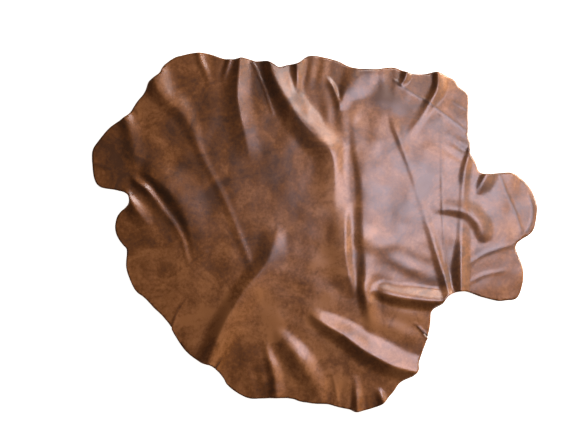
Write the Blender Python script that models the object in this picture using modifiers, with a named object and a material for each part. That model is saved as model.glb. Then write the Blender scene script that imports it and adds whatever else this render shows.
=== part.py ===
"""A whole tanned hide, one sheet of soft leather lying on a level surface.

The neck flap points to +X and the rump to -X. The sheet is the outline of the hide,
filled with triangles, lifted into its folds and given its thickness. Lengths in the
tables are millimetres, the scene is in metres, and z = 0 is the surface it lies on.
"""

from typing import NamedTuple

import bpy
import numpy as np
from mathutils import Vector
from mathutils.geometry import delaunay_2d_cdt, interpolate_bezier

MM = 0.001
THICKNESS = 1.2 * MM
FLAT_STEP = 44 * MM  # facet size where the sheet lies flat; each finer level halves it
LEVELS = 2
SAG_LIMIT = 2 * MM  # a bend deeper than this over one facet gets the next finer level
RIM_STEP = 12 * MM  # facet length along the cut edge
CREST_STEP = 20 * MM  # facet length along a fold
FLANK_SHARES = (-1, -2 / 3, -1 / 3, 0, 1 / 3, 2 / 3, 1)  # rows across a fold, foot to foot
CLOSEST = 5.5 * MM  # no two inner points, nor one and the cut edge, are closer than this
CLEARANCE = 0.6  # a facet size times this is the least gap round its lattice's points
SPINE_STEPS = 6  # straight pieces between two stations of a fold
NICK_WIDTH = 0.6 * MM
LEATHER_BROWN = (0.150, 0.062, 0.026, 1.0)

# The cut edge, clockwise from the notch in the rump. Each stretch is a run of (x, y).
OUTLINE = {
    "upper rump lobe": (
        (-463, 82), (-470, 97), (-500, 106), (-533, 112), (-548, 128), (-554, 160),
        (-555, 202), (-540, 228), (-512, 261), (-478, 285),
    ),
    "upper flank": (
        (-460, 300), (-444, 325), (-424, 350), (-414, 375), (-400, 387), (-383, 402),
        (-378, 415), (-350, 436), (-325, 443), (-292, 449), (-262, 445), (-228, 434),
        (-200, 432),
    ),
    "upper belly": (
        (-184, 436), (-160, 431), (-148, 427), (-122, 428), (-105, 422), (-88, 412),
        (-62, 419), (-47, 420), (-32, 428), (-16, 440), (8, 440), (57, 428), (92, 412),
        (125, 408), (160, 408), (195, 412), (225, 402), (250, 395), (282, 396), (303, 401),
    ),
    "upper fore corner": (
        (330, 390), (351, 379), (357, 366), (380, 348), (385, 333), (384, 300),
        (384, 255), (383, 240), (390, 216), (388, 200), (402, 175), (411, 152),
    ),
    "upper neck lobe": (
        (422, 147), (450, 147), (487, 150), (505, 143), (530, 122), (547, 95),
        (556, 66), (554, 35), (545, 2), (522, -15), (503, -31),
    ),
    "lower neck lobe": (
        (505, -48), (519, -84), (521, -122), (507, -163), (480, -170), (455, -171),
        (415, -161), (382, -149), (362, -148),
    ),
    "lower fore corner": (
        (336, -157), (318, -179), (302, -188), (292, -198), (289, -230), (281, -268),
        (268, -303), (260, -328), (260, -343), (247, -358), (216, -374), (196, -400),
        (181, -417), (172, -428),
    ),
    "lower belly": (
        (150, -438), (108, -448), (88, -443), (60, -437), (30, -429), (0, -428),
        (-35, -423), (-55, -416), (-90, -414), (-150, -416), (-172, -412), (-196, -399),
        (-217, -382), (-228, -364), (-247, -341), (-263, -330), (-279, -327),
        (-303, -313), (-325, -293), (-343, -267), (-354, -248),
    ),
    "lower flank": (
        (-358, -236), (-380, -209), (-402, -188), (-424, -164), (-443, -150),
        (-456, -130), (-468, -100), (-471, -78),
    ),
    "lower rump lobe": (
        (-469, -43), (-482, -28), (-495, -5), (-498, 15), (-494, 36), (-485, 51),
        (-468, 66),
    ),
}

# Short cuts in from the edge: where each opens on the edge, and where it ends.
NICKS = {
    "lower flank nick": ((-357, -238), (-349, -212)),
    "lower belly nick": ((-248, -340), (-234, -318)),
    "fore corner nick": ((282, -262), (255, -232)),
}


class Station(NamedTuple):
    """One point on the crest of a fold, with its height there and its two flanks' widths."""

    x: float
    y: float
    height: float
    left: float
    right: float


# Left and right are as seen when walking along a fold in the order of its stations.
FOLDS = {
    "upper rump ruck": (
        Station(-158, 170, 0, 34, 36),
        Station(-168, 215, 2.5, 40, 40),
        Station(-177, 255, 4.5, 48, 42),
        Station(-188, 305, 7, 52, 42),
        Station(-193, 350, 9, 50, 42),
        Station(-190, 395, 10, 36, 38),
        Station(-186, 440, 10, 20, 32),
    ),
    "diagonal ruck": (
        Station(66, -40, 0, 44, 30),
        Station(58, 5, 1.6, 56, 40),
        Station(52, 48, 2.4, 62, 48),
        Station(50, 85, 3, 66, 46),
        Station(50, 125, 4.2, 66, 38),
        Station(49, 170, 6.2, 60, 36),
        Station(38, 206, 8.5, 56, 44),
        Station(10, 234, 9, 54, 52),
        Station(-24, 270, 10, 50, 54),
        Station(-54, 306, 12, 46, 54),
        Station(-82, 350, 13, 38, 60),
        Station(-104, 395, 13, 30, 70),
        Station(-116, 440, 13, 22, 76),
    ),
    "groove lip": (
        Station(98, -165, 0, 30, 14),
        Station(92, -130, 3, 50, 16),
        Station(84, -100, 4, 60, 20),
        Station(78, -60, 5, 64, 22),
        Station(77, -10, 5, 64, 22),
        Station(78, 35, 3, 50, 20),
        Station(80, 75, 0, 40, 18),
    ),
    "long groove wall": (
        Station(146, -250, 0, 22, 30),
        Station(138, -212, 3, 24, 34),
        Station(130, -175, 7, 23, 36),
        Station(124, -142, 7, 22, 40),
        Station(127, -105, 4, 22, 50),
        Station(126, -60, 2.4, 22, 60),
        Station(121, 0, 2, 20, 70),
        Station(120, 60, 2, 20, 80),
        Station(118, 120, 2.2, 20, 80),
        Station(111, 165, 2, 17, 70),
        Station(104, 200, 1.4, 16, 50),
        Station(101, 240, 1, 18, 40),
        Station(99, 300, 0, 18, 30),
    ),
    "lower rump ruck": (
        Station(-272, -338, 14, 34, 56),
        Station(-250, -284, 15, 36, 62),
        Station(-227, -234, 15, 37, 68),
        Station(-203, -190, 14, 37, 70),
        Station(-178, -150, 12, 36, 68),
        Station(-150, -115, 9.5, 36, 64),
        Station(-124, -82, 7, 38, 58),
        Station(-108, -45, 5, 42, 50),
        Station(-97, -8, 2.6, 42, 36),
        Station(-90, 20, 0, 40, 30),
    ),
    "long rump crease": (
        Station(-152, -110, 0, 16, 14),
        Station(-168, -60, 1, 17, 14),
        Station(-188, -10, 1.1, 17, 14),
        Station(-222, 75, 1.1, 17, 14),
        Station(-260, 150, 1.2, 17, 14),
        Station(-283, 195, 1.7, 20, 17),
        Station(-297, 230, 2.4, 24, 22),
        Station(-308, 262, 3.2, 28, 30),
        Station(-334, 300, 4.5, 32, 44),
        Station(-366, 328, 6, 34, 54),
        Station(-390, 355, 8, 34, 60),
        Station(-405, 392, 9, 28, 54),
    ),
    "notch ruck": (
        Station(-308, -95, 0, 10, 8),
        Station(-320, -60, 0.8, 12, 9),
        Station(-330, -20, 1.2, 14, 10),
        Station(-352, 22, 1.8, 18, 11),
        Station(-376, 52, 2.6, 24, 12),
        Station(-398, 82, 4, 26, 14),
        Station(-420, 108, 8, 20, 20),
        Station(-440, 122, 7, 16, 18),
        Station(-460, 140, 0, 12, 12),
    ),
    "notch wall": (
        Station(-296, -60, 0, 12, 40),
        Station(-306, -20, 2, 14, 60),
        Station(-316, 20, 4, 20, 70),
        Station(-332, 58, 6, 28, 76),
        Station(-352, 92, 8, 32, 76),
        Station(-378, 118, 9, 32, 72),
        Station(-405, 140, 7, 28, 60),
        Station(-436, 156, 0, 18, 40),
    ),
    "lower rump lobe ruck": (
        Station(-410, 8, 0, 30, 22),
        Station(-426, 30, 3.5, 36, 28),
        Station(-440, 50, 6, 34, 28),
        Station(-455, 72, 7, 24, 24),
        Station(-470, 94, 5, 14, 18),
    ),
    "upper rump lobe ruck": (
        Station(-447, 140, 0, 30, 40),
        Station(-452, 205, 3, 34, 40),
        Station(-463, 258, 5, 30, 36),
        Station(-478, 290, 6, 18, 26),
    ),
    "upper flank pleat": (
        Station(-258, 355, 0, 14, 14),
        Station(-272, 400, 2, 14, 16),
        Station(-284, 425, 3, 14, 18),
        Station(-291, 455, 3, 12, 20),
    ),
    "small upper rump pleat": (
        Station(-231, 372, 0, 10, 12),
        Station(-222, 400, 3, 12, 14),
        Station(-214, 425, 5, 12, 16),
        Station(-208, 450, 5, 12, 14),
    ),
    "upper belly pinch": (
        Station(-42, 345, 0, 14, 14),
        Station(-43, 375, 4, 16, 20),
        Station(-43, 400, 8, 22, 24),
        Station(-44, 425, 9, 22, 26),
    ),
    "hooked ruck": (
        Station(62, 300, 0, 14, 8),
        Station(60, 322, 2, 16, 9),
        Station(54, 345, 3, 18, 9),
        Station(45, 366, 3, 18, 9),
        Station(30, 388, 0, 16, 9),
    ),
    "upper belly ruck": (
        Station(66, 305, 0, 14, 24),
        Station(70, 335, 3, 14, 34),
        Station(79, 358, 4, 22, 50),
        Station(98, 380, 4, 40, 60),
        Station(124, 400, 3.5, 62, 60),
        Station(140, 420, 3, 70, 60),
    ),
    "upper belly pleat": (
        Station(212, 362, 0, 14, 12),
        Station(226, 385, 6, 18, 16),
        Station(233, 408, 8, 20, 18),
    ),
    "fore corner ruck": (
        Station(234, 240, 0, 16, 16),
        Station(251, 264, 1.3, 17, 18),
        Station(269, 292, 2, 18, 20),
        Station(289, 326, 4, 19, 22),
        Station(303, 352, 7, 18, 28),
        Station(307, 378, 8.5, 14, 32),
        Station(305, 406, 9, 12, 34),
    ),
    "neck fold": (
        Station(366, -155, 11, 32, 24),
        Station(366, -110, 9, 31, 24),
        Station(366, -60, 6, 26, 26),
        Station(366, 0, 2.4, 18, 30),
        Station(367, 50, 1, 12, 24),
        Station(370, 100, 1.4, 13, 20),
        Station(374, 140, 3, 18, 20),
        Station(380, 175, 3, 14, 18),
        Station(390, 205, 3, 12, 16),
    ),
    "shoulder ruck": (
        Station(338, -160, 6, 26, 16),
        Station(326, -115, 4.5, 24, 16),
        Station(313, -78, 3, 20, 18),
        Station(290, 0, 1.6, 18, 18),
        Station(267, 72, 0.6, 14, 18),
        Station(240, 155, 0.7, 12, 18),
        Station(222, 205, 1.4, 14, 20),
        Station(203, 255, 1.5, 14, 20),
        Station(185, 310, 0, 14, 18),
    ),
    "neck arc": (
        Station(424, -26, 0, 20, 24),
        Station(419, -4, 3, 24, 34),
        Station(408, 24, 3.8, 26, 38),
        Station(383, 48, 3.8, 25, 40),
        Station(345, 58, 3, 22, 36),
        Station(290, 56, 0, 14, 26),
    ),
    "neck root pleat": (
        Station(408, 92, 0, 16, 22),
        Station(414, 112, 3, 18, 30),
        Station(424, 132, 5, 18, 36),
        Station(434, 154, 5.5, 16, 38),
    ),
    "fore corner swell": (
        Station(335, -172, 10.5, 22, 34),
        Station(290, -172, 10.5, 26, 38),
        Station(240, -167, 10.5, 28, 40),
        Station(200, -160, 9.5, 28, 38),
        Station(168, -151, 7, 24, 34),
        Station(140, -142, 0, 16, 24),
    ),
    "lower fore ruck": (
        Station(264, -352, 10, 30, 46),
        Station(205, -338, 11, 36, 54),
        Station(155, -314, 11, 38, 56),
        Station(115, -290, 11, 38, 52),
        Station(75, -260, 10, 36, 46),
        Station(35, -237, 8, 32, 40),
        Station(5, -216, 5, 26, 30),
        Station(-14, -200, 0, 20, 20),
    ),
    "lower belly ruck": (
        Station(12, -435, 4, 44, 34),
        Station(6, -395, 4, 46, 36),
        Station(-12, -357, 6, 46, 40),
        Station(-34, -325, 7, 44, 42),
        Station(-56, -295, 6, 40, 38),
        Station(-80, -262, 3, 30, 30),
        Station(-100, -240, 0, 20, 20),
    ),
    "lower belly pleat": (
        Station(-96, -425, 7, 22, 30),
        Station(-98, -385, 6, 22, 28),
        Station(-104, -345, 5, 20, 26),
        Station(-116, -308, 3, 16, 20),
        Station(-124, -270, 0, 12, 14),
    ),
    "lowest pleat": (
        Station(106, -455, 9, 16, 22),
        Station(105, -420, 8, 16, 22),
        Station(104, -390, 4, 15, 20),
        Station(102, -355, 0, 12, 14),
    ),
    "lower fore pleat": (
        Station(176, -435, 7, 18, 16),
        Station(168, -412, 5, 18, 16),
        Station(158, -388, 0, 14, 12),
    ),
    "shoulder wave": (
        Station(215, -38, 0, 34, 30),
        Station(165, -28, 1.4, 40, 44),
        Station(124, -16, 2.2, 40, 46),
    ),
}


def smooth_run(points, closed, steps):
    """Points on a smooth curve through the given ones: a Bezier piece between each two."""
    count = len(points)
    run = []
    for i in range(count if closed else count - 1):
        before, start, end, after = (
            Vector(points[(i + k) % count if closed else min(max(i + k, 0), count - 1)])
            for k in (-1, 0, 1, 2)
        )
        piece = interpolate_bezier(
            start, start + (end - before) / 6, end - (after - start) / 6, end, steps + 1
        )
        run += piece[:-1]
    return run if closed else run + [piece[-1]]


def evenly_spaced(loop, step):
    """The closed loop again, with its points about one step apart."""
    loop = np.array(loop + loop[:1])
    along = np.concatenate([[0], np.cumsum(np.linalg.norm(np.diff(loop, axis=0), axis=1))])
    at = np.linspace(0, along[-1], round(along[-1] / step), endpoint=False)
    return np.stack([np.interp(at, along, loop[:, axis]) for axis in (0, 1)], axis=1)


def cut_nicks(rim):
    """The rim with a narrow V let in where each nick opens."""
    points = [tuple(p) for p in rim]
    for mouth, tip in NICKS.values():
        mouth, tip = Vector(mouth) * MM, Vector(tip) * MM
        nearest = min(range(len(points)), key=lambda i: (Vector(points[i]) - mouth).length)
        along = Vector(points[(nearest + 1) % len(points)]) - Vector(points[nearest - 1])
        half = along.normalized() * NICK_WIDTH / 2
        points[nearest : nearest + 1] = [tuple(mouth - half), tuple(tip), tuple(mouth + half)]
    return np.array(points)


def rim_points():
    corners = [(x * MM, y * MM, 0) for stretch in OUTLINE.values() for x, y in stretch]
    curve = [(p.x, p.y) for p in smooth_run(corners, closed=True, steps=8)]
    return cut_nicks(evenly_spaced(curve, RIM_STEP))


def spine_of(stations):
    """A fold's crest as rows of x, y, height, left and right, close together, in metres."""
    places = smooth_run([(s.x, s.y, 0) for s in stations], closed=False, steps=SPINE_STEPS)
    sizes = smooth_run([s[2:] for s in stations], closed=False, steps=SPINE_STEPS)
    return np.array([(p.x, p.y, *q) for p, q in zip(places, sizes)]) * MM


def lift_of(spine, points):
    """How far one fold lifts each point: a rounded hump across the crest."""
    start, step = spine[:-1], np.diff(spine, axis=0)
    away = points[:, None, :] - start[None, :, :2]
    share = (away * step[:, :2]).sum(2) / (step[:, :2] ** 2).sum(1)
    share = share.clip(0, 1)
    off = away - share[..., None] * step[:, :2]
    far = np.linalg.norm(off, axis=2)
    nearest = far.argmin(1)
    row = np.arange(len(points))
    height, left, right = (start[nearest] + share[row, nearest, None] * step[nearest])[:, 2:].T
    along, aside = step[nearest, :2], away[row, nearest]
    on_left = along[:, 0] * aside[:, 1] > along[:, 1] * aside[:, 0]
    width = np.where(on_left, left, right)
    across = (far[row, nearest] / width).clip(0, 1)
    return height.clip(0) * np.cos(across * np.pi / 2) ** 2


def height_at(points):
    """The underside's height above the surface, all folds together."""
    return sum(lift_of(spine_of(stations), points) for stations in FOLDS.values())


def inside(loop, points):
    """Which points lie inside the closed loop, by crossings of a line towards +X."""
    x, y = points[:, :1], points[:, 1:]
    ax, ay = loop.T
    bx, by = np.roll(loop, -1, axis=0).T
    crosses = (ay > y) != (by > y)
    rise = np.where(by == ay, 1, by - ay)
    return (crosses & (x < ax + (y - ay) / rise * (bx - ax))).sum(1) % 2 == 1


def distance_to(loop, points):
    step = np.roll(loop, -1, axis=0) - loop
    away = points[:, None, :] - loop[None]
    share = ((away * step).sum(2) / (step**2).sum(1)).clip(0, 1)
    return np.linalg.norm(away - share[..., None] * step, axis=2).min(1)


def lattice(loop, spacing):
    """A triangular lattice of points over the loop."""
    low, high = loop.min(0) - spacing, loop.max(0) + spacing
    columns = np.arange(low[0], high[0], spacing)
    rows = np.arange(low[1], high[1], spacing * np.sqrt(0.75))
    shift = np.arange(len(rows)) % 2 * spacing / 2
    x = columns[None, :] + shift[:, None]
    y = np.broadcast_to(rows[:, None], x.shape)
    return np.stack([x.ravel(), y.ravel()], axis=1)


def fold_rows():
    """Points in rows along every fold: its crest, its flanks and its two feet."""
    rows = []
    for stations in FOLDS.values():
        spine = spine_of(stations)
        length = np.linalg.norm(np.diff(spine[:, :2], axis=0), axis=1).sum()
        at = np.linspace(0, len(spine) - 1, round(length / CREST_STEP) + 1)
        column = np.arange(len(spine))
        x, y, _, left, right = (np.interp(at, column, size) for size in spine.T)
        along = np.stack([np.gradient(x), np.gradient(y)], axis=1)
        along /= np.linalg.norm(along, axis=1, keepdims=True)
        towards_left = np.stack([-along[:, 1], along[:, 0]], axis=1)
        for share in FLANK_SHARES:
            reach = share * (left if share > 0 else right)
            rows.append(np.stack([x, y], axis=1) + reach[:, None] * towards_left)
    return np.concatenate(rows)


def bends(points, spacing):
    """Where a facet of that size would stand well off the folds."""
    middle = height_at(points)
    bend = np.zeros(len(points))
    for angle in (0, np.pi / 3, 2 * np.pi / 3):
        reach = spacing * np.array([np.cos(angle), np.sin(angle)])
        ends = height_at(points + reach) + height_at(points - reach)
        bend = np.maximum(bend, np.abs(ends / 2 - middle))
    return bend > SAG_LIMIT


def spread(kept, points, gap):
    """The kept points, and each further point that is at least a gap from all before it."""
    for point in points:
        if not len(kept) or np.linalg.norm(kept - point, axis=1).min() > gap:
            kept = np.concatenate([kept, point[None]])
    return kept


def inner_points(rim):
    """Points inside the rim: in rows along the folds, and a lattice that is finer on bends."""
    kept = spread(np.zeros((0, 2)), fold_rows(), CLOSEST)
    for level in range(LEVELS):
        spacing = FLAT_STEP / 2**level
        points = lattice(rim, spacing)
        if level:
            points = points[bends(points, spacing)]
        kept = spread(kept, points, CLEARANCE * spacing)
    kept = kept[inside(rim, kept)]
    return kept[distance_to(rim, kept) > CLOSEST]


def flat_sheet(rim):
    """The rim filled with triangles, as flat points and faces."""
    points = [Vector(p) for p in np.concatenate([rim, inner_points(rim)])]
    filled = delaunay_2d_cdt(points, [], [list(range(len(rim)))], 1, 1e-6)
    return np.array([tuple(p) for p in filled[0]]), filled[2]


def build_hide(collection):
    flat, faces = flat_sheet(rim_points())
    mesh = bpy.data.meshes.new("hide")
    lifted = np.column_stack([flat, height_at(flat)])
    mesh.from_pydata(lifted.tolist(), [], faces)
    if sum(p.normal.z for p in mesh.polygons) < 0:
        mesh.flip_normals()
    mesh.shade_smooth()
    hide = bpy.data.objects.new("hide", mesh)
    collection.objects.link(hide)
    shell = hide.modifiers.new("leather thickness", "SOLIDIFY")
    shell.thickness = THICKNESS
    shell.offset = 1
    hide.data.materials.append(leather())
    stand_on_origin(hide)


def stand_on_origin(hide):
    """Centres the finished sheet's footprint on the origin, with its lowest point at z = 0."""
    bpy.context.view_layer.update()
    box = np.array(hide.evaluated_get(bpy.context.evaluated_depsgraph_get()).bound_box)
    low, high = box.min(0), box.max(0)
    hide.location = (-(low[0] + high[0]) / 2, -(low[1] + high[1]) / 2, -low[2])


def leather():
    material = bpy.data.materials.new("brown leather")
    material.use_nodes = True
    shader = material.node_tree.nodes["Principled BSDF"]
    shader.inputs["Base Color"].default_value = LEATHER_BROWN
    shader.inputs["Roughness"].default_value = 0.45
    shader.inputs["Metallic"].default_value = 0.0
    return material


def main():
    for old in list(bpy.data.objects):
        bpy.data.objects.remove(old)
    collection = bpy.data.collections.new("leather hide")
    bpy.context.scene.collection.children.link(collection)
    build_hide(collection)


main()
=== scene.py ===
"""The looks of a whole brown leather hide: its draped sheet, its three surfaces and its stage.

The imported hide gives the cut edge. The sheet is filled inside it, lifted into the rucks,
creases and ripples of the tables below, and finished with grain, suede and a raw cut edge.
Tables are in millimetres and everything else is in metres. +X points to the neck flap.
"""

from typing import NamedTuple

import bpy
import numpy as np
from bpy.props import FloatProperty, FloatVectorProperty, IntProperty, PointerProperty
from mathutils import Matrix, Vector
from mathutils.geometry import delaunay_2d_cdt, interpolate_bezier


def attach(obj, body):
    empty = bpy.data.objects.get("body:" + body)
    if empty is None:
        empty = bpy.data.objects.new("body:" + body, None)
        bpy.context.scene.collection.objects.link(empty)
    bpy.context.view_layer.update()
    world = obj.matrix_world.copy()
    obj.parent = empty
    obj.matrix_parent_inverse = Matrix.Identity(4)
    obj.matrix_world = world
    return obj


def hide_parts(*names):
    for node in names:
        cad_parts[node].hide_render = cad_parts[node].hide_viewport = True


bl_info = {
    "name": "Leather Hide",
    "version": (1, 0, 0),
    "blender": (4, 5, 0),
    "location": "View3D > Sidebar > Hide",
    "description": "A whole leather hide lying on a level floor, in soft rucks",
    "category": "Object",
}

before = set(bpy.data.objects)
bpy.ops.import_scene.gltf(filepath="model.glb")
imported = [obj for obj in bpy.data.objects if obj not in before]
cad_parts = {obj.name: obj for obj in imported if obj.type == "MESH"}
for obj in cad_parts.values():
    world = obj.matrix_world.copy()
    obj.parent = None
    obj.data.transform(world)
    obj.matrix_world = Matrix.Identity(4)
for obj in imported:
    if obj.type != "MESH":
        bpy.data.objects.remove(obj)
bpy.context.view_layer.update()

MM = 0.001
NODE = "hide"

EDGE_STEP = 3.2 * MM
SHEET_STEP = 4.2 * MM
RIM_GAP = 0.62  # least space between the rim and the points inside it, in sheet steps
TOP_FACE = 0.6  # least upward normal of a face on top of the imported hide
SHARP_TURN = 0.5  # a corner of the rim whose cosine is under this stays a corner
RIM_STEPS = 6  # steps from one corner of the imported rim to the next
SPINE_STEPS = 6  # steps from one station of a fold to the next
WANDER_POINTS = 9  # rim points that share one wander of the knife
CREASE_SHARPNESS = 0.5
CREASE_FADE = (0.12, 0.88)  # the part of a half wave that a crease's height follows
RIPPLE_BEND = 6  # millimetres that a ripple's crest strays from a straight line
RIPPLE_BEND_REACH = 1.7  # length over which it strays, in spacings per radian
RIPPLE_FADE = 1.3  # how soon ripples die away from the middle of their patch
SWELL_SCALES = (1, 0.8, 0.62, 0.5, 0.4, 0.3)
SWELLS_PER_SCALE = 3
SWELL_LIMITS = (-1.5, 2.5)  # how far down and up the swells may go beside their usual size

FLECK_SHARE = 0.4  # weight of the flecks beside the cloudy dye
DYE_AND_PAINTED_LIGHT_SHARE = 0.17  # weight of the dye patches and creases, with their painted shade and painted highlights, beside the cloudy dye
TONE_STOPS = (0.51, 0.70, 0.89)  # tones at which the dark, middle and light browns stand
SUEDE_SHADE = 0.7  # the flesh side's darker tone, as a share of its colour
EDGE_SHADE = 0.55  # the cut edge's darker tone, as a share of its colour

FLOOR_SIZE = 60
ROOM_COLOUR = (1.0, 0.66, 0.38, 1)
VIEW_CENTRE = (-0.065, 0.03875)


class Station(NamedTuple):
    """One point on a fold's crest: its place, its height and the width of its two flanks."""

    x: float
    y: float
    height: float
    left: float
    right: float


class Fold(NamedTuple):
    """A ruck or pleat along its stations; sharpness runs from 0, round, to 1, pinched."""

    sharpness: float
    stations: tuple


class Crease(NamedTuple):
    """A thin raised line in the leather, fading at both ends; its tone, as in a dye patch,
    paints shade along the line below 0 and a highlight above 0.
    """

    height: float
    half_width: float
    tone: float
    points: tuple


class Ripples(NamedTuple):
    """A patch of small parallel waves: its middle, radius, crest direction and spacing."""

    x: float
    y: float
    radius: float
    direction: float
    spacing: float
    height: float


class DyeAndPaintedLightPatch(NamedTuple):
    """A soft oval, darker below 0 and lighter above 0: partly dye, partly painted shade and
    painted highlight.
    """

    x: float
    y: float
    half_length: float
    half_width: float
    tone: float


class Lamp(NamedTuple):
    """A rectangular light: its place, what it faces, its size, share of power and colour."""

    place: tuple
    target: tuple
    size: tuple
    share: float
    colour: tuple


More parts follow.
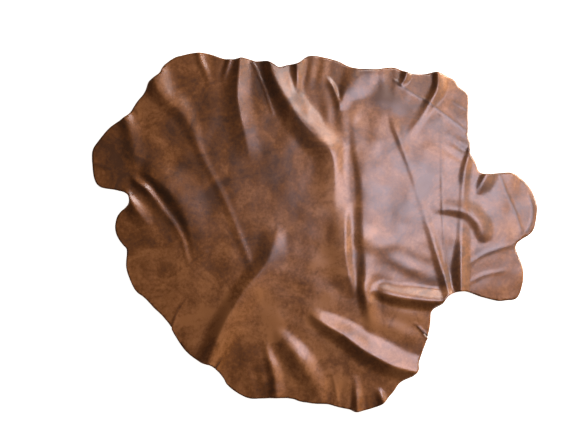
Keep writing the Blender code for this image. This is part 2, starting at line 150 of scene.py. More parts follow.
# Left and right are as seen when walking along a fold in the order of its stations.
FOLDS = {
    "upper rump ruck": Fold(0.7, (
        Station(-158, 170, 0, 34, 36),
        Station(-168, 215, 2.5, 40, 40),
        Station(-177, 255, 4.5, 48, 42),
        Station(-188, 305, 7, 52, 42),
        Station(-193, 350, 9, 50, 42),
        Station(-190, 395, 10, 36, 38),
        Station(-186, 440, 10, 20, 32),
    )),
    "diagonal ruck": Fold(0.3, (
        Station(66, -40, 0, 44, 30),
        Station(58, 5, 1.6, 56, 40),
        Station(52, 48, 2.4, 62, 48),
        Station(50, 85, 3, 66, 46),
        Station(50, 125, 4.2, 66, 38),
        Station(49, 170, 6.2, 60, 36),
        Station(38, 206, 8.5, 56, 44),
        Station(10, 234, 9, 54, 52),
        Station(-24, 270, 10, 50, 54),
        Station(-54, 306, 12, 46, 54),
        Station(-82, 350, 13, 38, 60),
        Station(-104, 395, 13, 30, 70),
        Station(-116, 440, 13, 22, 76),
    )),
    "groove lip": Fold(0.4, (
        Station(98, -165, 0, 30, 14),
        Station(92, -130, 3, 50, 16),
        Station(84, -100, 4, 60, 20),
        Station(78, -60, 5, 64, 22),
        Station(77, -10, 5, 64, 22),
        Station(78, 35, 3, 50, 20),
        Station(80, 75, 0, 40, 18),
    )),
    "long groove wall": Fold(0.15, (
        Station(146, -250, 0, 22, 30),
        Station(138, -212, 3, 24, 34),
        Station(130, -175, 7, 23, 36),
        Station(124, -142, 7, 22, 40),
        Station(127, -105, 4, 22, 50),
        Station(126, -60, 2.4, 22, 60),
        Station(121, 0, 2, 20, 70),
        Station(120, 60, 2, 20, 80),
        Station(118, 120, 2.2, 20, 80),
        Station(111, 165, 2, 17, 70),
        Station(104, 200, 1.4, 16, 50),
        Station(101, 240, 1, 18, 40),
        Station(99, 300, 0, 18, 30),
    )),
    "lower rump ruck": Fold(0.4, (
        Station(-272, -338, 14, 34, 56),
        Station(-250, -284, 15, 36, 62),
        Station(-227, -234, 15, 37, 68),
        Station(-203, -190, 14, 37, 70),
        Station(-178, -150, 12, 36, 68),
        Station(-150, -115, 9.5, 36, 64),
        Station(-124, -82, 7, 38, 58),
        Station(-108, -45, 5, 42, 50),
        Station(-97, -8, 2.6, 42, 36),
        Station(-90, 20, 0, 40, 30),
    )),
    "long rump crease": Fold(0.3, (
        Station(-152, -110, 0, 16, 14),
        Station(-168, -60, 1, 17, 14),
        Station(-188, -10, 1.1, 17, 14),
        Station(-222, 75, 1.1, 17, 14),
        Station(-260, 150, 1.2, 17, 14),
        Station(-283, 195, 1.7, 20, 17),
        Station(-297, 230, 2.4, 24, 22),
        Station(-308, 262, 3.2, 28, 30),
        Station(-334, 300, 4.5, 32, 44),
        Station(-366, 328, 6, 34, 54),
        Station(-390, 355, 8, 34, 60),
        Station(-405, 392, 9, 28, 54),
    )),
    "notch ruck": Fold(0.5, (
        Station(-308, -95, 0, 10, 8),
        Station(-320, -60, 0.8, 12, 9),
        Station(-330, -20, 1.2, 14, 10),
        Station(-352, 22, 1.8, 18, 11),
        Station(-376, 52, 2.6, 24, 12),
        Station(-398, 82, 4, 26, 14),
        Station(-420, 108, 8, 20, 20),
        Station(-440, 122, 7, 16, 18),
        Station(-460, 140, 0, 12, 12),
    )),
    "notch wall": Fold(0.1, (
        Station(-296, -60, 0, 12, 40),
        Station(-306, -20, 2, 14, 60),
        Station(-316, 20, 4, 20, 70),
        Station(-332, 58, 6, 28, 76),
        Station(-352, 92, 8, 32, 76),
        Station(-378, 118, 9, 32, 72),
        Station(-405, 140, 7, 28, 60),
        Station(-436, 156, 0, 18, 40),
    )),
    "lower rump lobe ruck": Fold(0.4, (
        Station(-410, 8, 0, 30, 22),
        Station(-426, 30, 3.5, 36, 28),
        Station(-440, 50, 6, 34, 28),
        Station(-455, 72, 7, 24, 24),
        Station(-470, 94, 5, 14, 18),
    )),
    "upper rump lobe ruck": Fold(0.3, (
        Station(-447, 140, 0, 30, 40),
        Station(-452, 205, 3, 34, 40),
        Station(-463, 258, 5, 30, 36),
        Station(-478, 290, 6, 18, 26),
    )),
    "upper flank pleat": Fold(0.5, (
        Station(-258, 355, 0, 14, 14),
        Station(-272, 400, 2, 14, 16),
        Station(-284, 425, 3, 14, 18),
        Station(-291, 455, 3, 12, 20),
    )),
    "small upper rump pleat": Fold(0.5, (
        Station(-231, 372, 0, 10, 12),
        Station(-222, 400, 3, 12, 14),
        Station(-214, 425, 5, 12, 16),
        Station(-208, 450, 5, 12, 14),
    )),
    "upper belly pinch": Fold(0.6, (
        Station(-42, 345, 0, 14, 14),
        Station(-43, 375, 4, 16, 20),
        Station(-43, 400, 8, 22, 24),
        Station(-44, 425, 9, 22, 26),
    )),
    "hooked ruck": Fold(0.7, (
        Station(62, 300, 0, 14, 8),
        Station(60, 322, 2, 16, 9),
        Station(54, 345, 3, 18, 9),
        Station(45, 366, 3, 18, 9),
        Station(30, 388, 0, 16, 9),
    )),
    "upper belly ruck": Fold(0.2, (
        Station(66, 305, 0, 14, 24),
        Station(70, 335, 3, 14, 34),
        Station(79, 358, 4, 22, 50),
        Station(98, 380, 4, 40, 60),
        Station(124, 400, 3.5, 62, 60),
        Station(140, 420, 3, 70, 60),
    )),
    "upper belly pleat": Fold(0.5, (
        Station(212, 362, 0, 14, 12),
        Station(226, 385, 6, 18, 16),
        Station(233, 408, 8, 20, 18),
    )),
    "fore corner ruck": Fold(0.3, (
        Station(234, 240, 0, 16, 16),
        Station(251, 264, 1.3, 17, 18),
        Station(269, 292, 2, 18, 20),
        Station(289, 326, 4, 19, 22),
        Station(303, 352, 7, 18, 28),
        Station(307, 378, 8.5, 14, 32),
        Station(305, 406, 9, 12, 34),
    )),
    "neck fold": Fold(0.4, (
        Station(366, -155, 11, 32, 24),
        Station(366, -110, 9, 31, 24),
        Station(366, -60, 6, 26, 26),
        Station(366, 0, 2.4, 18, 30),
        Station(367, 50, 1, 12, 24),
        Station(370, 100, 1.4, 13, 20),
        Station(374, 140, 3, 18, 20),
        Station(380, 175, 3, 14, 18),
        Station(390, 205, 3, 12, 16),
    )),
    "shoulder ruck": Fold(0.4, (
        Station(338, -160, 6, 26, 16),
        Station(326, -115, 4.5, 24, 16),
        Station(313, -78, 3, 20, 18),
        Station(290, 0, 1.6, 18, 18),
        Station(267, 72, 0.6, 14, 18),
        Station(240, 155, 0.7, 12, 18),
        Station(222, 205, 1.4, 14, 20),
        Station(203, 255, 1.5, 14, 20),
        Station(185, 310, 0, 14, 18),
    )),
    "neck arc": Fold(0.1, (
        Station(424, -26, 0, 20, 24),
        Station(419, -4, 3, 24, 34),
        Station(408, 24, 3.8, 26, 38),
        Station(383, 48, 3.8, 25, 40),
        Station(345, 58, 3, 22, 36),
        Station(290, 56, 0, 14, 26),
    )),
    "neck root pleat": Fold(0.2, (
        Station(408, 92, 0, 16, 22),
        Station(414, 112, 3, 18, 30),
        Station(424, 132, 5, 18, 36),
        Station(434, 154, 5.5, 16, 38),
    )),
    "fore corner swell": Fold(0.2, (
        Station(335, -172, 10.5, 22, 34),
        Station(290, -172, 10.5, 26, 38),
        Station(240, -167, 10.5, 28, 40),
        Station(200, -160, 9.5, 28, 38),
        Station(168, -151, 7, 24, 34),
        Station(140, -142, 0, 16, 24),
    )),
    "lower fore ruck": Fold(0.5, (
        Station(264, -352, 10, 30, 46),
        Station(205, -338, 11, 36, 54),
        Station(155, -314, 11, 38, 56),
        Station(115, -290, 11, 38, 52),
        Station(75, -260, 10, 36, 46),
        Station(35, -237, 8, 32, 40),
        Station(5, -216, 5, 26, 30),
        Station(-14, -200, 0, 20, 20),
    )),
    "lower belly ruck": Fold(0.15, (
        Station(12, -435, 4, 44, 34),
        Station(6, -395, 4, 46, 36),
        Station(-12, -357, 6, 46, 40),
        Station(-34, -325, 7, 44, 42),
        Station(-56, -295, 6, 40, 38),
        Station(-80, -262, 3, 30, 30),
        Station(-100, -240, 0, 20, 20),
    )),
    "lower belly pleat": Fold(0.3, (
        Station(-96, -425, 7, 22, 30),
        Station(-98, -385, 6, 22, 28),
        Station(-104, -345, 5, 20, 26),
        Station(-116, -308, 3, 16, 20),
        Station(-124, -270, 0, 12, 14),
    )),
    "lowest pleat": Fold(0.3, (
        Station(106, -455, 9, 16, 22),
        Station(105, -420, 8, 16, 22),
        Station(104, -390, 4, 15, 20),
        Station(102, -355, 0, 12, 14),
    )),
    "lower fore pleat": Fold(0.3, (
        Station(176, -435, 7, 18, 16),
        Station(168, -412, 5, 18, 16),
        Station(158, -388, 0, 14, 12),
    )),
    "shoulder wave": Fold(0.1, (
        Station(215, -38, 0, 34, 30),
        Station(165, -28, 1.4, 40, 44),
        Station(124, -16, 2.2, 40, 46),
    )),
}

# A crease's tone is painted shade along its line below 0 and a painted highlight above 0; at the
# nicks it is the painted shadow of the slit.
CREASES = {
    "upper belly knife pleat": Crease(1.6, 4, 0, (
        (-158, 430), (-141, 395), (-126, 360), (-114, 325), (-104, 295),
    )),
    "first storage fold": Crease(0.8, 5, -0.6, (
        (315, 290), (318, 150), (319, 80), (323, 0), (325, -50), (328, -110),
    )),
    "shoulder cross crease": Crease(0.9, 4, -1.6, (
        (198, 380), (240, 350), (275, 330), (310, 305), (350, 275), (384, 248),
    )),
    "fore corner crease": Crease(0.7, 5, -0.8, ((345, 327), (384, 304))),
    "lower rump cross crease": Crease(1.1, 6, -0.5, (
        (-428, -158), (-370, -120), (-320, -85), (-270, -50),
    )),
    "neck lobe crease": Crease(0.8, 4, -1.6, (
        (461, 148), (475, 110), (490, 75), (503, 45), (511, 22), (518, 0),
    )),
    "neck lobe rim crease": Crease(0.7, 5, -1.6, ((536, 90), (545, 62), (543, 30), (531, 2))),
    "lower neck crease": Crease(0.6, 10, -0.4, ((382, -82), (430, -52), (500, -30))),
    "lowest neck crease": Crease(0.5, 9, -0.4, ((378, -132), (422, -108), (470, -98))),
    "flank nick crease": Crease(0.9, 5, -1.6, (
        (-356, -237), (-349, -213), (-342, -195), (-325, -172),
    )),
    "fore nick lip": Crease(1.2, 6, -1.6, ((284, -264), (275, -254), (262, -240), (251, -229))),
    "belly nick lip": Crease(1.2, 6, -1.6, ((-249, -342), (-241, -329), (-232, -315))),
    "notch line": Crease(0.9, 4, -0.8, ((-474, 97), (-445, 98), (-420, 107))),
    "lower belly line": Crease(1.0, 5, 0.3, ((43, -350), (55, -400), (62, -438))),
    "rump lobe line": Crease(0.8, 6, -1.0, ((-556, 173), (-535, 165), (-512, 158))),
}

RIPPLES = {
    "upper belly edge": Ripples(0, 405, 45, 84, 31, 0.8),
    "upper shoulder": Ripples(40, 300, 55, 103, 37, 0.6),
    "upper fore edge": Ripples(180, 395, 55, 96, 33, 0.7),
    "neck notch": Ripples(362, 205, 34, 155, 26, 0.6),
    "lower fore edge": Ripples(225, -240, 80, 165, 52, 0.3),
    "lowest edge": Ripples(60, -400, 60, 86, 34, 0.7),
    "lower belly edge": Ripples(-150, -380, 55, 110, 38, 0.7),
    "plateau foot": Ripples(240, -80, 80, 160, 46, 0.35),
}

# Dye patches, many of them painted shade or painted highlight in place of light that the lamps
# do not give.
DYE_AND_PAINTED_LIGHT_PATCHES = {
    "rump lobe": DyeAndPaintedLightPatch(-500, 180, 70, 70, -0.50),
    "upper back": DyeAndPaintedLightPatch(-300, 170, 170, 90, -0.30),
    "middle of the back": DyeAndPaintedLightPatch(-120, 130, 130, 150, -0.30),
    "above the notch": DyeAndPaintedLightPatch(-390, 120, 90, 60, -0.35),
    "beside the notch": DyeAndPaintedLightPatch(-260, 50, 80, 100, -0.35),
    "notch ruck": DyeAndPaintedLightPatch(-365, 45, 45, 65, -0.70),
    "under the upper belly": DyeAndPaintedLightPatch(-230, 280, 60, 110, -0.25),
    "lower rump": DyeAndPaintedLightPatch(-330, -120, 120, 100, 0.40),
    "upper flank": DyeAndPaintedLightPatch(-310, 380, 100, 60, 0.10),
    "upper belly": DyeAndPaintedLightPatch(-60, 370, 60, 80, -0.60),
    "upper rump ruck": DyeAndPaintedLightPatch(-168, 350, 30, 90, -0.90),
    "lower belly": DyeAndPaintedLightPatch(-80, -200, 160, 100, 0.90),
    "fore flank": DyeAndPaintedLightPatch(200, -220, 110, 60, 0.65),
    "lower edge": DyeAndPaintedLightPatch(20, -370, 150, 60, 0.55),
    "groove side": DyeAndPaintedLightPatch(55, 80, 50, 200, 1.15),
    "plateau foot": DyeAndPaintedLightPatch(235, -95, 90, 40, -0.60),
    "upper fore": DyeAndPaintedLightPatch(130, 355, 80, 60, -0.80),
    "neck lobe rim": DyeAndPaintedLightPatch(530, 50, 40, 75, -0.80),
    "lower neck lobe": DyeAndPaintedLightPatch(460, -110, 70, 60, -0.30),
    "neck lobe": DyeAndPaintedLightPatch(450, 60, 70, 80, -0.60),
    "plateau": DyeAndPaintedLightPatch(265, 90, 130, 200, -0.55),
}

WINDOW_LAMP = Lamp((1.95, 1.05, 0.68), (0, 0, 0), (1.8, 0.9), 1, (1.0, 0.90, 0.80))
GLOSS_LAMPS = {
    "soft box": Lamp((0.57, 0.14, 1.6), (0.57, 0.14, 0), (0.66, 0.56), 0.53, (0.9, 0.82, 0.98)),
    "tall window": Lamp((1.28, 0.6, 1.27), (0, 0, 0), (2.2, 1.5), 0.9, (1, 0.88, 0.82)),
    "high window": Lamp((0.45, 1.08, 1.5), (0.25, -0.15, 0), (0.7, 0.6), 0.6, (1, 0.95, 1)),
    "ceiling": Lamp((-0.02, 0.165, 2.7), (-0.02, 0.165, 0), (0.5, 0.6), 0.03, (0.9, 0.86, 1)),
}


class HideSheetSettings(bpy.types.PropertyGroup):
    """Sizes of the draped sheet"""

    thickness: FloatProperty(
        name="Thickness", description="Thickness of the leather", default=1.2 * MM,
        unit="LENGTH",
    )
    fold_height: FloatProperty(
        name="Fold Height", description="Factor on the height of every ruck", default=1.0,
    )
    swell_height: FloatProperty(
        name="Swell Height", description="Height of the shallow waves between the rucks",
        default=0.65 * MM, unit="LENGTH",
    )
    swell_spacing: FloatProperty(
        name="Swell Spacing", description="Distance between the shallow waves",
        default=110 * MM, unit="LENGTH",
    )
    edge_wander: FloatProperty(
        name="Edge Wander", description="How far the cut edge wanders from a clean line",
        default=0.15 * MM, unit="LENGTH",
    )
    seed: IntProperty(name="Seed", description="Picks another set of waves", default=4)


class LeatherSettings(bpy.types.PropertyGroup):
    """Colours and gloss of the leather"""

    # Besides the mottling, the dark and light browns show the painted shade and painted
    # highlights of the dye patches and creases.
    dark: FloatVectorProperty(
        name="Dark Brown", description="Colour of the darkest mottling", subtype="COLOR",
        default=(0.080, 0.025, 0.003),
    )
    middle: FloatVectorProperty(
        name="Middle Brown", description="Colour of most of the grain side",
        subtype="COLOR", default=(0.190, 0.064, 0.009),
    )
    light: FloatVectorProperty(
        name="Light Brown", description="Colour of the worn, lighter mottling",
        subtype="COLOR", default=(0.360, 0.150, 0.050),
    )
    suede: FloatVectorProperty(
        name="Suede", description="Colour of the flesh side", subtype="COLOR",
        default=(0.330, 0.185, 0.100),
    )
    edge: FloatVectorProperty(
        name="Cut Edge", description="Colour of the raw cut edge", subtype="COLOR",
        default=(0.200, 0.100, 0.052),
    )
    roughness: FloatProperty(
        name="Roughness", description="Roughness of the wax on the grain side",
        default=0.24, subtype="FACTOR",
    )
    worn_wax: FloatProperty(
        name="Worn Wax", description="How much wax is left where it is most worn",
        default=0.82, subtype="FACTOR",
    )


class StageSettings(bpy.types.PropertyGroup):
    """Camera, lights and floor"""

    camera_height: FloatProperty(
        name="Camera Height", description="Height of the camera above the floor",
        default=2.6, unit="LENGTH",
    )
    view_width: FloatProperty(
        name="View Width", description="Width of floor that the camera sees",
        default=1.4425, unit="LENGTH",
    )
    key_power: FloatProperty(
        name="Key Power", description="Power of the low window light", default=124.0,
        unit="POWER",
    )
    top_power: FloatProperty(
        name="Top Power", description="Power shared by the lights that only give gloss",
        default=26.0, unit="POWER",
    )
    ambient: FloatProperty(
        name="Ambient", description="Strength of the even room light", default=0.15,
    )
    floor: FloatVectorProperty(
        name="Floor", description="Colour of the pale floor", subtype="COLOR",
        default=(0.86, 0.86, 0.86),
    )
    floor_glow: FloatProperty(
        name="Floor Glow", description="Light that the pale floor gives off", default=0.94,
    )


# --- the sheet ---------------------------------------------------------------------------


def rim_of(node):
    """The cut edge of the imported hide, in order, as plan points."""
    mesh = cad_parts[node].data
    # Corners of neighbouring faces are told to be the same by their rounded places.
    places = [(round(v.co.x, 5), round(v.co.y, 5), round(v.co.z, 5)) for v in mesh.vertices]
    follows = {}
    for face in mesh.polygons:
        if face.normal.z > TOP_FACE:
            ring = [places[i] for i in face.vertices]
            follows.update(dict.fromkeys(zip(ring, ring[1:] + ring[:1])))
    border = {a: b for a, b in follows if (b, a) not in follows}
    start = here = next(iter(border))
    rim = []
    while not rim or here != start:
        rim.append(here[:2])
        here = border[here]
    return np.array(rim)


def smooth_run(points, closed, steps):
    """Points on a smooth curve through the given ones, which keeps their sharp corners."""
    count = len(points)
    points = [Vector(p) for p in points]
    handles = []
    for i, point in enumerate(points):
        before = points[(i - 1) % count if closed else max(i - 1, 0)]
        after = points[(i + 1) % count if closed else min(i + 1, count - 1)]
        into, out = (point - before).normalized(), (after - point).normalized()
        sharp = into.length and out.length and into.dot(out) < SHARP_TURN
        # A sixth of the way between its neighbours carries a curve smoothly through a point.
        handles.append((after - before) / 6 * (not sharp))
    run = []
    for i in range(count if closed else count - 1):
        j = (i + 1) % count
        piece = interpolate_bezier(
            points[i], points[i] + handles[i], points[j] - handles[j], points[j], steps + 1
        )
        run += piece[:-1]
    return run if closed else run + [piece[-1]]


def evenly_spaced(loop, step):
    """Points about a step apart along a closed loop."""
    loop = np.array(loop + loop[:1])
    along = np.concatenate([[0], np.cumsum(np.linalg.norm(np.diff(loop, axis=0), axis=1))])
    at = np.linspace(0, along[-1], round(along[-1] / step), endpoint=False)
    return np.stack([np.interp(at, along, loop[:, axis]) for axis in (0, 1)], axis=1)


def cut_edge(wander, seed):
    """The rim at fine steps, wandering a little as a knife does."""
    rim = [(x, y, 0) for x, y in rim_of(NODE)]
    loop = evenly_spaced([(p.x, p.y) for p in smooth_run(rim, True, RIM_STEPS)], EDGE_STEP)
    out = np.roll(loop, 1, axis=0) - np.roll(loop, -1, axis=0)
    out = np.stack([-out[:, 1], out[:, 0]], axis=1)
    out /= np.linalg.norm(out, axis=1, keepdims=True)
    drift = np.random.default_rng(seed).normal(size=len(loop))
    half = WANDER_POINTS // 2
    around = np.concatenate([drift[-half:], drift, drift[:half]])
    drift = np.convolve(around, np.hanning(WANDER_POINTS), "valid")
    return loop + out * (drift / drift.std() * wander)[:, None]


def hump(share, sharpness):
    """Height across a flank, from 1 on the crest to 0 at the foot."""
    share = share.clip(0, 1)
    rounded = np.cos(share * np.pi / 2) ** 2
    return (1 - sharpness) * rounded + sharpness * (1 - share) ** 2


def spine_of(stations):
    """A crest as rows of x, y, height, left and right, close together, in metres."""
    places = smooth_run([(s.x, s.y, 0) for s in stations], False, SPINE_STEPS)
    sizes = smooth_run([(s.height, s.left, s.right) for s in stations], False, SPINE_STEPS)
    return np.array([(p.x, p.y, *q) for p, q in zip(places, sizes)]) * MM


def lift_along(spine, points, sharpness):
    """The lift that one fold gives each point."""
    lift = np.zeros(len(points))
    reach = spine[:, 3:].max()
    low, high = spine[:, :2].min(0) - reach, spine[:, :2].max(0) + reach
    near = np.flatnonzero(((points > low) & (points < high)).all(1))
    start, step = spine[:-1], np.diff(spine, axis=0)
    away = points[near, None, :] - start[None, :, :2]
    share = (away * step[:, :2]).sum(2) / (step[:, :2] ** 2).sum(1)
    share = share.clip(0, 1)
    off = away - share[..., None] * step[:, :2]
    far = np.linalg.norm(off, axis=2)
    best = far.argmin(1)  # the nearest stretch of the crest gives the height and widths
    row = np.arange(len(near))
    height, left, right = (start[best] + share[row, best, None] * step[best])[:, 2:].T
    along, aside = step[best, :2], away[row, best]
    on_left = along[:, 0] * aside[:, 1] > along[:, 1] * aside[:, 0]
    width = np.where(on_left, left, right)
    lift[near] = height * hump(far[row, best] / width, sharpness)
    return lift


def crease_lift(crease, points):
    """The lift that one crease gives each point."""
    fade = np.sin(np.linspace(*CREASE_FADE, len(crease.points)) * np.pi) ** 0.5
    stations = [
        Station(x, y, crease.height * share, crease.half_width, crease.half_width)
        for (x, y), share in zip(crease.points, fade)
    ]
    return lift_along(spine_of(stations), points, CREASE_SHARPNESS)


def ripple_lift(ripples, points):
    """A patch of waves that dies away from its middle."""
    turn = np.radians(ripples.direction)
    away = points / MM - (ripples.x, ripples.y)
    across = away @ (-np.sin(turn), np.cos(turn))
    along = away @ (np.cos(turn), np.sin(turn))
    bend = RIPPLE_BEND * np.sin(along / (RIPPLE_BEND_REACH * ripples.spacing))
    wave = np.sin((across + bend) * 2 * np.pi / ripples.spacing)
    share = np.linalg.norm(away, axis=1) / ripples.radius
    return ripples.height * MM * wave * np.exp(-((share * RIPPLE_FADE) ** 2))


def swell_lift(settings, points):
    """Shallow waves all over, up and down from a level, in seeded directions."""
    rng = np.random.default_rng(settings.seed)
    total = np.zeros(len(points))
    for scale in SWELL_SCALES:
        for _ in range(SWELLS_PER_SCALE):
            turn, phase = rng.uniform(0, 2 * np.pi, 2)
            wave = points @ (np.cos(turn), np.sin(turn)) * 2 * np.pi
            total += scale**1.5 * np.sin(wave / (settings.swell_spacing * scale) + phase)
    return settings.swell_height * (total / total.std()).clip(*SWELL_LIMITS) / 2


def underside_height(settings, points):
    """Height of the sheet's underside at each point, never below the floor."""
    folds = sum(
        lift_along(spine_of(fold.stations), points, fold.sharpness)
        for fold in FOLDS.values()
    )
    creases = sum(crease_lift(crease, points) for crease in CREASES.values())
    ripples = sum(ripple_lift(patch, points) for patch in RIPPLES.values())
    rest = swell_lift(settings, points) + creases + ripples + settings.swell_height
    return (folds * settings.fold_height + rest).clip(0)


def dye_and_painted_light_tone(points):
    """How much darker or lighter the colour is at each point: dye, painted shade and painted
    highlights.
    """
    tone = np.zeros(len(points))
    for patch in DYE_AND_PAINTED_LIGHT_PATCHES.values():
        away = (points / MM - (patch.x, patch.y)) / (patch.half_length, patch.half_width)
        tone += patch.tone * np.exp(-((away**2).sum(1)))
    # Each crease paints its tone along its line: shade below 0, a highlight above 0.
    for crease in CREASES.values():
        tone += crease.tone * crease_lift(crease, points) / (crease.height * MM)
    return tone


def lattice(loop, spacing):
    """Points in even triangles over the whole box of the loop."""
    low, high = loop.min(0) - spacing, loop.max(0) + spacing
    columns = np.arange(low[0], high[0], spacing)
    rows = np.arange(low[1], high[1], spacing * np.sqrt(0.75))
    shift = np.arange(len(rows)) % 2 * spacing / 2
    x = columns[None, :] + shift[:, None]
    y = np.broadcast_to(rows[:, None], x.shape)
    return np.stack([x.ravel(), y.ravel()], axis=1)


def inside(loop, points):
    """Which points lie inside the loop, by crossings of a line towards +X."""
    result = np.zeros(len(points), bool)
    x, y = points.T
    for (ax, ay), (bx, by) in zip(loop, np.roll(loop, -1, axis=0)):
        crosses = (ay > y) != (by > y)
        rise = by - ay if by != ay else 1
        result ^= crosses & (x < ax + (y - ay) / rise * (bx - ax))
    return result


def clear_of(loop, points, gap):
    """Which points are at least a gap from every point of the loop."""
    result = np.ones(len(points), bool)
    for corner in loop:
        result &= ((points - corner) ** 2).sum(1) > gap**2
    return result


def flat_sheet(rim):
    """The sheet's plan points and its triangles, with the rim as their border."""
    grid = lattice(rim, SHEET_STEP)
    grid = grid[inside(rim, grid)]
    grid = grid[clear_of(rim, grid, RIM_GAP * SHEET_STEP)]
    points = [Vector(p) for p in np.concatenate([rim, grid])]
    filled = delaunay_2d_cdt(points, [], [list(range(len(rim)))], 1, 1e-7)
    return np.array([tuple(p) for p in filled[0]]), filled[2]


def build_sheet(settings):
    """The draped sheet, with its tone of dye, painted shade and painted highlights at each point
    and its thickness below.
    """
    flat, faces = flat_sheet(cut_edge(settings.edge_wander, settings.seed))
    top = underside_height(settings, flat) + settings.thickness
    mesh = bpy.data.meshes.new("leather_sheet")
    mesh.from_pydata(np.column_stack([flat, top]).tolist(), [], faces)
    if mesh.polygons[0].normal.z < 0:
        mesh.flip_normals()
    mesh.shade_smooth()
    # This attribute holds dye tone with the painted shade and painted highlights of the patches
    # and creases.
    mesh.attributes.new("tone_layer", "FLOAT", "POINT").data.foreach_set("value", dye_and_painted_light_tone(flat))
    sheet = bpy.data.objects.new("leather_sheet", mesh)
    bpy.context.scene.collection.objects.link(sheet)
    shell = sheet.modifiers.new("leather thickness", "SOLIDIFY")
    shell.thickness = settings.thickness
    shell.offset = -1
    shell.material_offset = 1
    shell.material_offset_rim = 2
    return sheet


# --- materials ---------------------------------------------------------------------------


def add_node(tree, kind, inputs=(), **settings):
    """A shader node whose inputs are linked to sockets or set to values."""
    node = tree.nodes.new(kind)
    for key, value in settings.items():
        setattr(node, key, value)
    for key, value in dict(inputs).items():
        if isinstance(value, bpy.types.NodeSocket):
            tree.links.new(value, node.inputs[key])
        else:
            node.inputs[key].default_value = value
    return node


def new_group(name, inputs, outputs):
    """A shader group with number inputs, its input node and its output node."""
    group = bpy.data.node_groups.new(name, "ShaderNodeTree")
    for label, value in inputs.items():
        socket = group.interface.new_socket(label, in_out="INPUT", socket_type="NodeSocketFloat")
        socket.default_value = value
    for label, kind in outputs.items():
        group.interface.new_socket(label, in_out="OUTPUT", socket_type=kind)
    return group, group.nodes.new("NodeGroupInput"), group.nodes.new("NodeGroupOutput")


def mottle_group():
    """Cloudy dye and small flecks."""
    group, given, result = new_group(
        "Leather Mottle",
        {"Cloud Scale": 11.0, "Fleck Scale": 120.0},
        {"Cloud": "NodeSocketFloat", "Fleck": "NodeSocketFloat"},
    )
    place = add_node(group, "ShaderNodeTexCoord").outputs["Object"]
    cloud = add_node(group, "ShaderNodeTexNoise", {
        "Vector": place, "Scale": given.outputs["Cloud Scale"], "Detail": 5.0,
        "Roughness": 0.62, "Distortion": 0.8,
    })
    fleck = add_node(group, "ShaderNodeTexNoise", {
        "Vector": place, "Scale": given.outputs["Fleck Scale"], "Detail": 3.0,
        "Roughness": 0.7,
    })
    group.links.new(cloud.outputs["Fac"], result.inputs["Cloud"])
    group.links.new(fleck.outputs["Fac"], result.inputs["Fleck"])
    return group


def grain_group():
    """Pebbled pores and a net of fine crinkles, as one normal."""
    group, given, result = new_group(
        "Leather Grain",
        {"Pore Scale": 620.0, "Pore Depth": 0.0001, "Crinkle Depth": 0.00025},
        {"Normal": "NodeSocketVector", "Pores": "NodeSocketFloat"},
    )
    place = add_node(group, "ShaderNodeTexCoord").outputs["Object"]
    pores = add_node(group, "ShaderNodeTexVoronoi", {
        "Vector": place, "Scale": given.outputs["Pore Scale"], "Randomness": 0.9,
    }, feature="SMOOTH_F1")
    crinkle = add_node(group, "ShaderNodeTexNoise", {
        "Vector": place, "Scale": 55.0, "Detail": 4.0, "Roughness": 0.6, "Distortion": 1.2,
    })
    coarse = add_node(group, "ShaderNodeBump", {
        "Strength": 1.0, "Distance": given.outputs["Crinkle Depth"],
        "Height": crinkle.outputs["Fac"],
    })
    fine = add_node(group, "ShaderNodeBump", {
        "Strength": 1.0, "Distance": given.outputs["Pore Depth"],
        "Height": pores.outputs["Distance"], "Normal": coarse.outputs["Normal"],
    })
    group.links.new(fine.outputs["Normal"], result.inputs["Normal"])
    group.links.new(pores.outputs["Distance"], result.inputs["Pores"])
    return group


def new_material(name):
    """A material, its node tree and its shader."""
    material = bpy.data.materials.new(name)
    material.use_nodes = True
    return material, material.node_tree, material.node_tree.nodes["Principled BSDF"]


def colour_ramp(tree, factor, stops):
    """A colour that runs through the stops as the factor rises."""
    ramp = add_node(tree, "ShaderNodeValToRGB", {"Fac": factor})
    elements = ramp.color_ramp.elements
    while len(elements) < len(stops):
        elements.new(0.5)
    for element, (position, colour) in zip(elements, stops):
        element.position = position
        element.color = (*colour, 1)
    return ramp.outputs["Color"]


def grain_side(settings, mottle, grain):
    """Mottled brown leather under a thin coat of wax that is worn in places."""
    material, tree, shader = new_material("waxed grain side")
    tone_layer = add_node(tree, "ShaderNodeGroup", node_tree=mottle)
    skin = add_node(tree, "ShaderNodeGroup", node_tree=grain)
    # This attribute brings in the dye tone with its painted shade and painted highlights.
    painted_light_and_dye = add_node(tree, "ShaderNodeAttribute", attribute_name="tone_layer")
    blend = add_node(tree, "ShaderNodeMath", {
        0: tone_layer.outputs["Fleck"], 1: FLECK_SHARE, 2: tone_layer.outputs["Cloud"],
    }, operation="MULTIPLY_ADD")
    tone = add_node(tree, "ShaderNodeMath", {
        0: painted_light_and_dye.outputs["Fac"], 1: DYE_AND_PAINTED_LIGHT_SHARE, 2: blend.outputs[0],
    }, operation="MULTIPLY_ADD")
    browns = (settings.dark, settings.middle, settings.light)
    colour = colour_ramp(tree, tone.outputs[0], tuple(zip(TONE_STOPS, browns)))
    tree.links.new(colour, shader.inputs["Base Color"])
    wax = add_node(tree, "ShaderNodeGroup", {"Cloud Scale": 14.0}, node_tree=mottle)
    polish = add_node(tree, "ShaderNodeMapRange", {
        "Value": wax.outputs["Cloud"], "From Min": 0.40, "From Max": 0.60,
        "To Min": settings.worn_wax, "To Max": 1.0,
    })
    tree.links.new(polish.outputs["Result"], shader.inputs["Coat Weight"])
    tree.links.new(skin.outputs["Normal"], shader.inputs["Normal"])
    shader.inputs["Coat Roughness"].default_value = settings.roughness
    shader.inputs["Roughness"].default_value = 0.6
    shader.inputs["Specular IOR Level"].default_value = 0.15
    return material


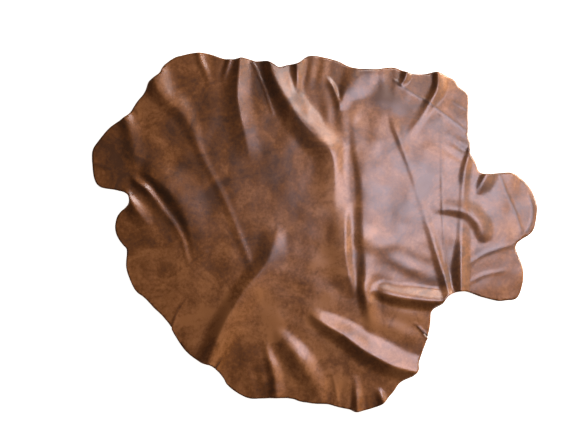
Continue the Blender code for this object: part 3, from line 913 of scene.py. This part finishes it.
def suede_side(settings, mottle, grain):
    """Dull, napped leather underneath."""
    material, tree, shader = new_material("suede flesh side")
    tone_layer = add_node(tree, "ShaderNodeGroup", {"Cloud Scale": 16.0}, node_tree=mottle)
    nap = add_node(tree, "ShaderNodeGroup", {
        "Pore Scale": 900.0, "Pore Depth": 0.0003, "Crinkle Depth": 0.0006,
    }, node_tree=grain)
    darker = [SUEDE_SHADE * value for value in settings.suede]
    colour = colour_ramp(tree, tone_layer.outputs["Cloud"], ((0.3, darker), (0.7, settings.suede)))
    tree.links.new(colour, shader.inputs["Base Color"])
    tree.links.new(nap.outputs["Normal"], shader.inputs["Normal"])
    shader.inputs["Roughness"].default_value = 0.95
    shader.inputs["Sheen Weight"].default_value = 0.3
    return material


def raw_edge(settings, mottle, grain):
    """The dry fibres that show where the hide was cut."""
    material, tree, shader = new_material("raw cut edge")
    tone_layer = add_node(tree, "ShaderNodeGroup", {"Cloud Scale": 60.0}, node_tree=mottle)
    fibre = add_node(tree, "ShaderNodeGroup", {"Pore Depth": 0.0003}, node_tree=grain)
    darker = [EDGE_SHADE * value for value in settings.edge]
    colour = colour_ramp(tree, tone_layer.outputs["Cloud"], ((0.35, darker), (0.65, settings.edge)))
    tree.links.new(colour, shader.inputs["Base Color"])
    tree.links.new(fibre.outputs["Normal"], shader.inputs["Normal"])
    shader.inputs["Roughness"].default_value = 0.85
    return material


# --- the stage ---------------------------------------------------------------------------


def lay_floor(settings):
    """A dull floor that gives off light, so that it stays pale in the shade."""
    material, _, shader = new_material("pale floor")
    shader.inputs["Base Color"].default_value = (*settings.floor, 1)
    shader.inputs["Roughness"].default_value = 1.0
    shader.inputs["Specular IOR Level"].default_value = 0.0
    shader.inputs["Emission Color"].default_value = (1, 1, 1, 1)
    shader.inputs["Emission Strength"].default_value = settings.floor_glow
    bpy.ops.mesh.primitive_plane_add(size=FLOOR_SIZE)
    floor = bpy.context.object
    floor.name = "floor"
    floor.data.materials.append(material)


def hang_lamp(name, lamp, power):
    """A lamp with its share of the power, facing its target."""
    light = bpy.data.lights.new(name, "AREA")
    light.shape = "RECTANGLE"
    light.size, light.size_y = lamp.size
    light.energy = power * lamp.share
    light.color = lamp.colour
    hung = bpy.data.objects.new(name, light)
    hung.location = lamp.place
    facing = Vector(lamp.target) - Vector(lamp.place)
    hung.rotation_euler = facing.to_track_quat("-Z", "Y").to_euler()
    bpy.context.scene.collection.objects.link(hung)
    return hung


def light_room(scene, settings):
    """Even warm light from all around."""
    world = bpy.data.worlds.new("room")
    world.use_nodes = True
    scene.world = world
    background = world.node_tree.nodes["Background"]
    background.inputs["Color"].default_value = ROOM_COLOUR
    background.inputs["Strength"].default_value = settings.ambient


def set_camera(scene, settings):
    """A camera straight above the hide that sees the asked width of floor."""
    data = bpy.data.cameras.new("camera")
    data.lens = data.sensor_width * settings.camera_height / settings.view_width
    camera = bpy.data.objects.new("camera", data)
    camera.location = (*VIEW_CENTRE, settings.camera_height)
    scene.collection.objects.link(camera)
    scene.camera = camera


# --- operators ---------------------------------------------------------------------------


class HIDE_OT_sheet(bpy.types.Operator):
    """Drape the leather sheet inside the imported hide's cut edge and finish its surfaces"""

    bl_idname = "hide.sheet"
    bl_label = "Leather Sheet"

    def execute(self, context):
        scene = context.scene
        sheet = build_sheet(scene.hide_sheet)
        mottle, grain = mottle_group(), grain_group()
        for make in (grain_side, suede_side, raw_edge):
            sheet.data.materials.append(make(scene.hide_leather, mottle, grain))
        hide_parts(NODE)
        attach(sheet, "root")
        return {"FINISHED"}


class HIDE_OT_stage(bpy.types.Operator):
    """Lay the pale floor and set the lights and the camera"""

    bl_idname = "hide.stage"
    bl_label = "Stage"

    def execute(self, context):
        scene = context.scene
        settings = scene.hide_stage
        lay_floor(settings)
        hang_lamp("window light", WINDOW_LAMP, settings.key_power)
        for name, lamp in GLOSS_LAMPS.items():
            hang_lamp(name, lamp, settings.top_power).visible_diffuse = False
        light_room(scene, settings)
        set_camera(scene, settings)
        scene.view_settings.view_transform = "Standard"
        return {"FINISHED"}


class HIDE_PT_panel(bpy.types.Panel):
    """Lists the hide's operators and settings"""

    bl_idname = "HIDE_PT_panel"
    bl_label = "Leather Hide"
    bl_space_type = "VIEW_3D"
    bl_region_type = "UI"
    bl_category = "Hide"

    def draw(self, context):
        for operator, settings in PANEL_ROWS:
            box = self.layout.box()
            box.operator(operator)
            group = getattr(context.scene, settings)
            for name in group.__annotations__:
                box.prop(group, name)


PANEL_ROWS = (
    ("hide.sheet", "hide_sheet"),
    ("hide.sheet", "hide_leather"),
    ("hide.stage", "hide_stage"),
)
GROUPS = {
    "hide_sheet": HideSheetSettings,
    "hide_leather": LeatherSettings,
    "hide_stage": StageSettings,
}
CLASSES = (*GROUPS.values(), HIDE_OT_sheet, HIDE_OT_stage, HIDE_PT_panel)


def register():
    for made in CLASSES:
        bpy.utils.register_class(made)
    for name, group in GROUPS.items():
        setattr(bpy.types.Scene, name, PointerProperty(type=group))


def unregister():
    for name in GROUPS:
        delattr(bpy.types.Scene, name)
    for made in reversed(CLASSES):
        bpy.utils.unregister_class(made)


def main():
    register()
    bpy.ops.hide.sheet()
    bpy.ops.hide.stage()


if __name__ == "__main__":
    main()
